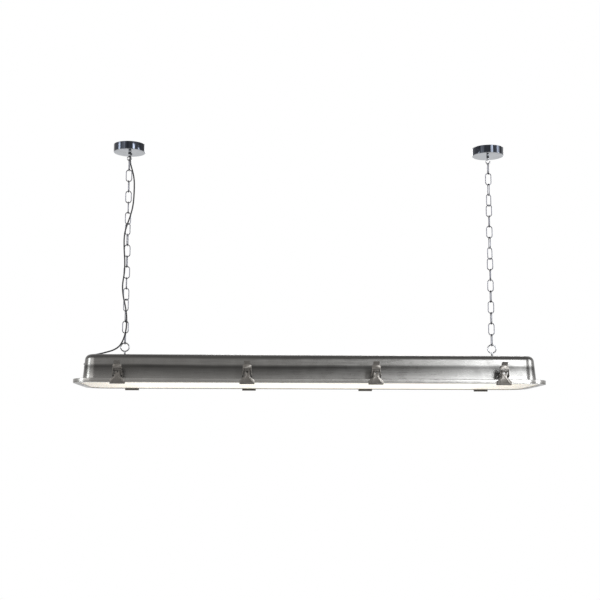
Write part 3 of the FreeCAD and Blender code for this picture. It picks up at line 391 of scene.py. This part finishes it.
def cord_material():
    """A round black jacket with a fine grain and a dusty bloom."""
    n = Nodes("cord_black", (0.016, 0.016, 0.017), 0.0, 0.5)
    weave = n.noise(1500.0, (1, 1, 0.35), 3.0)
    dust = n.noise(60.0, detail=4.0)
    n.color(n.mix(n.between(dust, 0.0, 0.5, 0.4, 0.75),
                  (0.007, 0.007, 0.008), (0.018, 0.018, 0.018)))
    n.rough(n.between(weave, 0.42, 0.62, 0.3, 0.7))
    n.bump(weave, 0.00006, 0.5)
    n.shader.inputs["Specular IOR Level"].default_value = 0.25
    return n.material


def lens_material():
    """Opal sheet lit from behind: brightest over the two tubes, dimmer past their ends."""
    n = Nodes("opal_lens", (0.90, 0.86, 0.78), 0.0, 0.32)
    grain = n.noise(420.0, detail=3.0)
    n.bump(grain, 0.00002, 0.4)
    split = n.add("ShaderNodeSeparateXYZ")
    n.link(n.place, split.inputs[0])
    along = n.math("ABSOLUTE", split.outputs["X"])
    across = n.math("ABSOLUTE", split.outputs["Y"])
    in_length = n.between(along, 1.0, 0.0, 0.52, 0.67)
    off_tube = n.math("ABSOLUTE", n.math("SUBTRACT", across, 0.06))
    in_width = n.between(off_tube, 1.0, 0.45, 0.0, 0.11)
    glow = n.math("MULTIPLY", in_length, in_width)
    tint = n.mix(glow, (0.92, 0.74, 0.50), (1.0, 0.93, 0.78))
    n.link(tint, n.shader.inputs["Emission Color"])
    n.link(n.between(glow, 0.16, 0.56), n.shader.inputs["Emission Strength"])
    n.shader.inputs["Subsurface Weight"].default_value = 0.15
    n.shader.inputs["Subsurface Radius"].default_value = (0.004, 0.003, 0.002)
    return n.material


def tube_material():
    """Coated glass, lit."""
    n = Nodes("tube_glass", (0.95, 0.95, 0.92), 0.0, 0.18)
    bands = n.noise(30.0, detail=3.0)
    n.color(n.mix(n.between(bands, 0.0, 0.4, 0.4, 0.7), (0.95, 0.95, 0.92), (0.88, 0.87, 0.82)))
    n.shader.inputs["Emission Color"].default_value = (1.0, 0.93, 0.80, 1)
    n.shader.inputs["Emission Strength"].default_value = 0.6
    return n.material


CORD = cord_material()
LENS = lens_material()
TUBE = tube_material()


def finish_piece(obj, material, body, slot, *nodes):
    """Gives a piece its material and its body, and hides the nodes it stands for. The slot is not
    used.
    """
    obj.data.materials.clear()
    obj.data.materials.append(material)
    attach(obj, body)
    if nodes:
        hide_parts(*nodes)
    return obj


# ---------------------------------------------------------------- camera
camera_data = bpy.data.cameras.new("camera")
camera_data.lens = 66
camera_data.sensor_width = 36
camera_data.clip_end = 50
camera = new_object("camera", camera_data)
UPWARD, ROLL, RIGHTWARD = 0.1352, -0.0022, 0.030   # chosen between two fits
camera.location = (-0.131, -3.420, -0.960)
camera.rotation_euler = (math.pi / 2 + UPWARD, ROLL, -RIGHTWARD)
bpy.context.scene.camera = camera


# ---------------------------------------------------------------- power cord
def cord_line():
    """The cord's smooth line, from the left canopy's bush to the gland on the end wall."""
    beside_chain = [
        (0, 17, -29), (0, 17, -52), (9, 13.5, -80), (16.5, 5, -110), (18, -2, -150),
        (16.5, -6.5, -196), (9, -13.5, -234), (-1, -15.5, -263), (-9, -13, -293), (-8.5, -13, -335),
        (-4.5, -15, -378), (-5, -15, -415), (-11.5, -11, -452), (-8, -13, -487), (0, -15.5, -518),
        (5.5, -14.5, -552), (5, -14.5, -589), (-2, -13, -620), (-15, -9, -644), (-34, -5, -655.5),
        (-55, -2.5, -661.5), (-75, -1, -666.5), (-93, 0, -670),
    ]
    points = [Vector((-CHAIN_X + x / 1000, y / 1000, z / 1000)) for x, y, z in beside_chain]
    mouth = Vector((KNEE.x, 0, MOUTH_Z))
    points += [mouth + Vector((0.008, 0, 0.0225)), mouth + Vector((0, 0, 0.012)), mouth]
    curve = bpy.data.curves.new("cord_route", "CURVE")
    curve.dimensions = "3D"
    curve.resolution_u = 14
    spline = curve.splines.new("NURBS")
    spline.points.add(len(points) - 1)
    for knot, point in zip(spline.points, points):
        knot.co = (*point, 1)
    spline.order_u = 3
    spline.use_endpoint_u = True
    holder = new_object("cord_route", curve)
    mesh = bpy.data.meshes.new_from_object(holder)
    line = [v.co.copy() for v in mesh.vertices]
    bpy.data.objects.remove(holder)
    bpy.data.curves.remove(curve)
    bpy.data.meshes.remove(mesh)
    return line


def length_of(points):
    return sum((b - a).length for a, b in zip(points, points[1:]))


def cord_piece(name, points):
    """One stretch of the cord, a round tube along its points."""
    bm = bmesh.new()
    add_rings(bm, tube_rings(points, CORD_WIDTH / 2, 14))
    obj = from_bmesh(name, bm, 60)
    obj.data.materials.append(CORD)
    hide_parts("power_cord")
    return obj


CUT_HEIGHTS = (-0.0665, -0.112, -0.578, -0.619)     # where the cord passes from body to body
CANOPY_BLEND = (-0.036, -0.064)


def carry(piece, body, other=None, start=0.0, end=0.0):
    """Rides a piece on a body, or, when another body is given, bakes its transform and leaves it
    unattached. The start and end heights are not used.
    """
    if other:
        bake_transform(piece)
    else:
        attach(piece, body)


rest = cord_line()
stretches = []
for level in CUT_HEIGHTS:
    index = next(i for i, p in enumerate(rest) if p.z < level)
    stretches.append(rest[:index + 1])
    rest = rest[index:]
stretches.append(rest)
for points, (name, *bodies) in zip(stretches, (
        ("cord_at_canopy", "ceiling_root", "top_link_left", *CANOPY_BLEND),
        ("cord_at_top_link", "top_link_left", "chain_left", -0.070, -0.108),
        ("cord_along_chain", "chain_left"),
        ("cord_at_bottom_link", "chain_left", "bottom_link_left", -0.582, -0.615),
        ("cord_to_gland", "bottom_link_left", "housing", -0.622, -0.653))):
    carry(cord_piece(name, points), *bodies)


def sleeve(name, points, *bodies):
    """A ribbed, tapered strain relief along the start of a line, thick end first."""
    thick, taper, rib_depth, rib_pitch = 0.0036, 0.0011, 0.00012, 0.0028
    line, run = [points[0]], 0.0
    for before, point in zip(points, points[1:]):
        step = (point - before).length
        if run + step > RELIEF_LENGTH:
            line.append(before.lerp(point, (RELIEF_LENGTH - run) / step))
            break
        run += step
        line.append(point)
    fine = []
    for before, point in zip(line, line[1:]):
        fine += [before.lerp(point, i / 6) for i in range(6)]
    fine.append(line[-1])
    radii, run, whole = [], 0.0, length_of(fine)
    for i, point in enumerate(fine):
        run += (point - fine[i - 1]).length if i else 0.0
        rib = rib_depth * math.sin(2 * math.pi * run / rib_pitch)
        radii.append(thick - taper * run / whole + rib)
    bm = bmesh.new()
    add_rings(bm, tube_rings(fine, radii, 20))
    obj = from_bmesh(name, bm, 60)
    obj.data.materials.append(BLACK)
    carry(obj, *bodies)


sleeve("canopy_strain_relief", stretches[0], "ceiling_root", "top_link_left", *CANOPY_BLEND)
sleeve("gland_strain_relief", list(reversed(stretches[4])), "housing")


# ---------------------------------------------------------------- chains
def link_points(steps=14):
    """The middle line of one link, two half circles joined by straight sides."""
    half = (LINK_INNER + 2 * LINK_WIRE) / 2 - LINK_BEND
    points = []
    for end, start in ((1, 0), (-1, 180)):
        for i in range(steps + 1):
            a = math.radians(start + 180 * i / steps)
            points.append(Vector((LINK_BEND * math.cos(a), 0,
                                  end * half + LINK_BEND * math.sin(a))))
    return points


def slip(link, middle):
    """How much of a quarter turn the chain has made by this link, spread over four links."""
    t = min(1, max(0, (link - middle + 2.0) / 4.0))
    return t * t * (3 - 2 * t)


def add_link(bm, link, side, slips):
    """One link, counted from the top, a quarter turn on from its neighbour."""
    turn = math.radians(90 * (link + 1) + 90 * sum(slip(link, middle) for middle in slips))
    spin = Matrix.Rotation(turn, 3, "Z")
    centre = Vector((side * CHAIN_X, 0, FIRST_SEAT - link * LINK_PITCH - LINK_INNER / 2))
    rings = tube_rings(link_points(), LINK_WIRE, 14, closed=True)
    rings = [[centre + spin @ p for p in ring] for ring in rings]
    add_rings(bm, rings, closed=True)


for side_name, side, slips in (("left", -1, (5.5, 12.5)), ("right", 1, (3.5, 8.5))):
    for label, links in (("top_link_", [0]), ("chain_", range(1, 16)), ("bottom_link_", [16])):
        bm = bmesh.new()
        for link in links:
            add_link(bm, link, side, slips)
        node = label + side_name
        finish_piece(from_bmesh(node + "_smooth", bm, 60), CHAIN, node, "chain_nickel", node)


# ---------------------------------------------------------------- canopies, hooks
def canopy_profile(hole):
    """A cup of radius r, height h and wall w, with an outer edge of radius e and an inner one."""
    r, h, w, e, inner_edge = 0.050, 0.025, SHEET, 0.0014, 0.001
    under = [(hole, -h), (hole + 0.012, -h), (r - e - 0.004, -h)]
    outer = bend_points((r - e, -h + e), e, -90, 0, 8)
    lip = [(r, -0.0006), (r - 0.0004, -0.0002), (r - 0.0008, 0.0)]
    inner = [(r - w, 0.0)]
    inner += bend_points((r - w - inner_edge, -h + w + inner_edge), inner_edge, 0, -90, 4)
    return under + outer + lip + inner + [(hole, -h + w)]


bm = bmesh.new()
for side in (-1, 1):
    closed_lathe(bm, canopy_profile(0.0033), Vector((side * CHAIN_X, 0, 0)), 128)
canopies = from_bmesh("canopies_spun", bm, 40)
finish_piece(canopies, CANOPY, "ceiling_root", "polished_nickel", "canopies")


def add_hook(bm, x):
    """A threaded stem with a collar, and an open ring whose wire tapers at its end."""
    stem = [(0.0001, -0.0062), (0.0024, -0.0062), (0.003, -0.0068)]
    z = -0.0068
    while z > -0.0215:
        stem += [(STUD, z), (0.0027, z - 0.0003), (STUD, z - 0.0007)]
        z -= 0.0008
    stem += [(STUD, -0.0249), (0.0036, -0.025), (0.004, -0.0254), (0.004, -0.0335),
             (0.0036, -0.0352), (0.0024, -0.0368), (0.0001, -0.0372)]
    lathe(bm, stem, Vector((x, 0, 0)), 32)
    loop = []
    for i in range(49):
        a = math.radians(90 + 300 * i / 48)
        loop.append(Vector((x + HOOK_BEND * math.cos(a), 0, HOOK_Z + HOOK_BEND * math.sin(a))))
    radius = [HOOK_WIRE] * 46 + [0.0016, 0.0012, 0.0005]
    add_rings(bm, tube_rings(loop, radius, 16))


bm = bmesh.new()
for side in (-1, 1):
    add_hook(bm, side * CHAIN_X)
finish_piece(from_bmesh("hooks_bent", bm, 50), CHROME, "ceiling_root", "polished_nickel",
             "ceiling_hooks")


# ---------------------------------------------------------------- casing, lens frame, lens
def shell(name, profile):
    """A wall along the rounded outline, from a profile of (inset, height) that closes on itself."""
    bm = bmesh.new()
    add_rings(bm, [outline(inset, z) for inset, z in profile], closed=True)
    return from_bmesh(name, bm, 30)


def fillet(corner, before, after, radius, steps=8):
    """Points that round a profile's corner between two neighbours with a radius."""
    c, a, b = (Vector((*p, 0)) for p in (corner, before, after))
    u, v = (a - c).normalized(), (b - c).normalized()
    half = u.angle(v) / 2
    reach = radius / math.tan(half)
    centre = c + (u + v).normalized() * (radius / math.sin(half))
    p, q = c + u * reach - centre, c + v * reach - centre
    points = []
    for i in range(steps + 1):
        t = i / steps
        out = p.normalized().slerp(q.normalized(), t) if p.angle(q) > 1e-4 else p.normalized()
        point = centre + out * radius
        points.append((point.x, point.y))
    return points


def casing_profile():
    """The pressing's outer and inner faces, as (inset, height), from the rim's edge inwards."""
    flange, rim, roof = 0.028, 0.009, 0.10
    lean = CASING_HEIGHT * DRAFT
    foot = (flange, FLANGE_TOP)
    shoulder = (flange + lean, TOP)
    middle = 0.12
    outer = [(0.0, FLANGE_TOP - rim)]
    outer += fillet((0.0, FLANGE_TOP), (0.0, FLANGE_TOP - rim), foot, 0.0016, 5)
    outer += fillet(foot, (0.0, FLANGE_TOP), shoulder, 0.0028, 6)
    outer += fillet(shoulder, foot, (middle, TOP), 0.017, 14)
    outer += [(roof, TOP)]
    in_foot = (foot[0] + SHEET, FLANGE_TOP - SHEET)
    in_shoulder = (shoulder[0] + SHEET, TOP - SHEET)
    inner = [(roof, TOP - SHEET)]
    inner += fillet(in_shoulder, (middle, TOP - SHEET), in_foot, 0.0155, 8)
    inner += fillet(in_foot, in_shoulder, (SHEET, FLANGE_TOP - SHEET), 0.0012, 4)
    inner += [(SHEET, FLANGE_TOP - SHEET), (SHEET, FLANGE_TOP - rim)]
    return outer, inner


def casing():
    """The pressing as one wall, each face of its roof closed by a single flat polygon."""
    outer, inner = casing_profile()
    bm = bmesh.new()
    rings = [outline(i, z, 20) for i, z in outer + inner]
    made = [[bm.verts.new(p) for p in ring] for ring in rings]
    count = len(made[0])
    split = len(outer)
    for index, (a, b) in enumerate(zip(made, made[1:] + made[:1])):
        if index == split - 1:
            continue
        for i in range(count):
            j = (i + 1) % count
            bm.faces.new((a[i], b[i], b[j], a[j]))
    bm.faces.new(made[split - 1])
    bm.faces.new(list(reversed(made[split])))
    return from_bmesh("casing_pressed", bm, 30)


finish_piece(casing(), NICKEL, "housing", "brushed_nickel", "casing")

# The folded frame's section, as (inset, height over the frame's bottom): a low rim and a ledge.
FRAME_SECTION = ((0.0005, 0.0), (0.0, 0.0005), (0.0, 0.0023), (0.0003, 0.0027), (0.0012, 0.0027),
                 (0.0015, 0.0024), (0.0015, 0.0015), (0.0197, 0.0015), (0.02, 0.0012),
                 (0.02, 0.0003), (0.0197, 0.0))
lens_frame = shell("lens_frame_folded", [(inset, FRAME_BOTTOM + up) for inset, up in FRAME_SECTION])
finish_piece(lens_frame, FRAME_METAL, "housing", "brushed_nickel", "lens_frame")


def lens():
    """A flat sheet with a slightly rounded edge, resting on the frame's ledge."""
    bm = bmesh.new()
    edge, softer, thickness, bevel = 0.0035, 0.0037, 0.003, 0.0003
    low = FRAME_BOTTOM + SHEET
    high = low + thickness
    add_rings(bm, [outline(inset, z) for inset, z in ((softer, low), (edge, low + bevel),
                                                      (edge, high - bevel), (softer, high))])
    return from_bmesh("lens_opal", bm, 30)


finish_piece(lens(), LENS, "housing", "opal_lens", "lens")


# ---------------------------------------------------------------- eye bolts and nuts
def add_eye_bolt(bm, x):
    """A closed ring on a threaded shank."""
    ring = [Vector((x + p.x, 0, RING_Z + p.y)) for p in level_ring(EYE_BEND, 0, 64)]
    add_rings(bm, tube_rings(ring, EYE_WIRE, 18, closed=True), closed=True)
    neck = [(0.0001, RING_Z - 0.0125), (0.0022, RING_Z - 0.0132), (0.0028, RING_Z - 0.0145),
            (STUD, RING_Z - 0.0165)]
    z = RING_Z - 0.0175
    while z > TOP - 0.0150:
        neck += [(STUD, z), (0.0026, z - 0.0004), (STUD, z - 0.0009)]
        z -= 0.001
    neck += [(0.0026, TOP - 0.0158), (0.0001, TOP - 0.0159)]
    lathe(bm, neck, Vector((x, 0, 0)), 28)


bm = bmesh.new()
for side in (-1, 1):
    add_eye_bolt(bm, side * CHAIN_X)
finish_piece(from_bmesh("eye_bolts_forged", bm, 50), CHROME, "housing", "polished_nickel",
             "eye_bolts")

bm = bmesh.new()
for side in (-1, 1):
    shank = Vector((side * CHAIN_X, 0, 0))
    for flange, nut in ((TOP, TOP + 0.0015), (TOP - 0.003, TOP - 0.008)):
        lathe(bm, [(0.0031, flange), (0.0078, flange), (0.008, flange + 0.0003),
                   (0.008, flange + 0.0010), (0.0072, flange + 0.0015), (0.0031, flange + 0.0015)],
              shank, 48)
        hexagon(bm, 0.010, nut, nut + 0.005, shank)
finish_piece(from_bmesh("eye_bolt_nuts_flanged", bm, 40), ZINC, "housing", "zinc_steel",
             "eye_bolt_nuts")


# ---------------------------------------------------------------- end gland
def gland():
    """The elbow's block with rounded corners, its spigot, its collar and its riser."""
    bm = bmesh.new()
    outward = Vector((-math.cos(LEAN), 0, math.sin(LEAN)))
    wall = Vector((GLAND_X, 0, GLAND_Z))
    turn = outward.to_track_quat("Z", "Y").to_matrix()
    hexagon(bm, 0.018, 0.0002, 0.004, wall, turn, 0.0005)
    lathe(bm, [(0.008, -0.009), (0.008, 0.0), (0.0072, 0.004), (0.0072, 0.0072)], wall, 32, outward)
    blocks = bmesh.ops.create_cube(bm, size=0.016, matrix=Matrix.Translation(KNEE))
    edges = list({e for v in blocks["verts"] for e in v.link_edges})
    bmesh.ops.bevel(bm, geom=edges, offset=0.003, segments=5, profile=0.5, affect="EDGES")
    lathe(bm, [(0.0075, 0.005), (0.0075, 0.0085), (0.0079, 0.0088), (0.0079, 0.0099)], KNEE, 32)
    return from_bmesh("gland_elbow", bm, 35)


def gland_nut():
    """The hexagonal nut on the riser, with a domed top."""
    bm = bmesh.new()
    low, flats = 0.010, 0.017
    hexagon(bm, flats, low, low + 0.005, KNEE)
    lathe(bm, [(0.0082, low + 0.0048), (0.0078, low + 0.0056), (0.0062, low + 0.0066),
               (0.0044, low + 0.007), (0.0030, low + 0.007), (0.0026, low + 0.0062),
               (0.0001, low + 0.006)], KNEE, 40)
    return from_bmesh("gland_nut_domed", bm, 35)


finish_piece(gland(), BLACK, "housing", "gland_black", "end_gland")
finish_piece(gland_nut(), BLACK, "housing", "gland_black", "end_gland_nut")

bm = bmesh.new()
bush = Vector((-CHAIN_X, BUSH_Y, 0))
lathe(bm, [(0.0045, -0.0236), (0.0045, -0.025), (0.0064, -0.0251), (0.0065, -0.0256),
           (0.0062, -0.0268), (0.0050, -0.0272), (0.0044, -0.0282), (0.0036, -0.029),
           (0.0001, -0.029)], bush, 40)
finish_piece(from_bmesh("cord_bush_turned", bm, 40), BLACK, "ceiling_root", "gland_black",
             "cord_bush")


# ---------------------------------------------------------------- stamped pieces from their solids
def softened(node, width):
    """A copy of a node's mesh with its coplanar faces joined and its edges slightly rounded."""
    flat, crease = math.radians(1.5), math.radians(28)
    source = bpy.data.objects[node]
    bm = bmesh.new()
    bm.from_mesh(source.data)
    bm.transform(source.matrix_world)
    bmesh.ops.remove_doubles(bm, verts=bm.verts, dist=1e-6)
    bmesh.ops.dissolve_limit(bm, angle_limit=flat, verts=bm.verts, edges=bm.edges)
    sharp = [e for e in bm.edges if len(e.link_faces) == 2 and e.calc_face_angle(0) > crease]
    bmesh.ops.bevel(bm, geom=sharp, offset=width, segments=2, profile=0.5, affect="EDGES",
                    clamp_overlap=True)
    return from_bmesh(node + "_pressed", bm, 35)


for row in ("front", "rear"):
    for number in range(1, 5):
        tail = "%s_%d" % (row, number)
        for node in ("latch_lever_" + tail, "latch_claw_" + tail):
            finish_piece(softened(node, 0.0003), LATCH, node, "latch_steel", node)
finish_piece(softened("latch_brackets", 0.00025), LATCH, "housing", "latch_steel",
             "latch_brackets")


# ---------------------------------------------------------------- carried-over nodes
for material, nodes in (
        (ZINC, ("ceiling_straps", "hook_nuts", "tray_spacers")),
        (FITTING, ("ceiling_terminal_block", "inner_terminal_block", "lampholders")),
        (BLACK, ("end_gland_locknut",)), (FOAM, ("gasket",)), (TRAY, ("gear_tray",)),
        (TUBE, ("tube_front_glass", "tube_rear_glass")),
        (CAPS, ("tube_front_caps", "tube_rear_caps"))):
    for node in nodes:
        surface = bpy.data.objects[node].data.materials
        surface.clear()
        surface.append(material)


# ---------------------------------------------------------------- floor, light
FLOOR_SIZE, FLOOR_Z = 14, -2.6
bm = bmesh.new()
bmesh.ops.create_grid(bm, x_segments=1, y_segments=1, size=FLOOR_SIZE / 2)
floor_mesh = bpy.data.meshes.new("floor")
bm.to_mesh(floor_mesh)
bm.free()
floor = new_object("floor", floor_mesh)
floor.location = (0, 0, FLOOR_Z)
floor_look = Nodes("floor_pale", (0.80, 0.80, 0.80), 0.0, 0.8)
speckle = floor_look.noise(3.0)
floor_look.color(floor_look.mix(speckle, (0.79, 0.79, 0.79), (0.82, 0.82, 0.82)))
seen = floor_look.add("ShaderNodeLightPath").outputs["Is Camera Ray"]
floor_look.shader.inputs["Emission Color"].default_value = (1, 1, 1, 1)
floor_look.link(floor_look.between(seen, 0.0, 0.45), floor_look.shader.inputs["Emission Strength"])
floor.data.materials.append(floor_look.material)

world = bpy.data.worlds.new("studio")
bpy.context.scene.world = world
world.use_nodes = True
# White to the camera and in metal and glass, and a plain level of light on the object.
WORLD_LIGHT = 0.35
tree = world.node_tree
background = tree.nodes["Background"]
path = tree.nodes.new("ShaderNodeLightPath")
seen = path.outputs["Is Camera Ray"]
for kind in ("Is Transmission Ray", "Is Glossy Ray"):
    either = tree.nodes.new("ShaderNodeMath")
    either.operation = "MAXIMUM"
    tree.links.new(seen, either.inputs[0])
    tree.links.new(path.outputs[kind], either.inputs[1])
    seen = either.outputs[0]
level = tree.nodes.new("ShaderNodeMapRange")
level.inputs["To Min"].default_value = WORLD_LIGHT
level.inputs["To Max"].default_value = 1.0
tree.links.new(seen, level.inputs["Value"])
tree.links.new(level.outputs["Result"], background.inputs["Strength"])
background.inputs["Color"].default_value = (1, 1, 1, 1)


def area(name, location, target, size, power, color=(1, 1, 1)):
    """A rectangular lamp that faces a target."""
    data = bpy.data.lights.new(name, "AREA")
    data.shape = "RECTANGLE"
    data.size, data.size_y = size
    data.energy = power
    data.color = color
    lamp = new_object(name, data)
    lamp.location = location
    aim = Vector(target) - Vector(location)
    lamp.rotation_euler = aim.to_track_quat("-Z", "Y").to_euler()


COOL = (0.93, 0.965, 1.0)
area("key", (1.62, -3.0, 0.12), (0.55, 0, -0.7), (0.9, 1.5), 75, COOL)
area("fill", (-2.6, -2.4, 0.4), (0, 0, -0.6), (1.6, 1.6), 22)
area("side_right", (3.1, -0.9, 0.0), (0.68, -0.1, -0.7), (1.0, 1.5), 60, COOL)
area("side_left", (-3.1, -0.9, 0.0), (-0.68, -0.1, -0.7), (0.7, 1.4), 45, (0.93, 0.98, 1.0))
area("back", (0.5, 2.6, 1.0), (0, 0, -0.6), (2.0, 1.2), 35)

bpy.context.scene.view_settings.view_transform = "Standard"
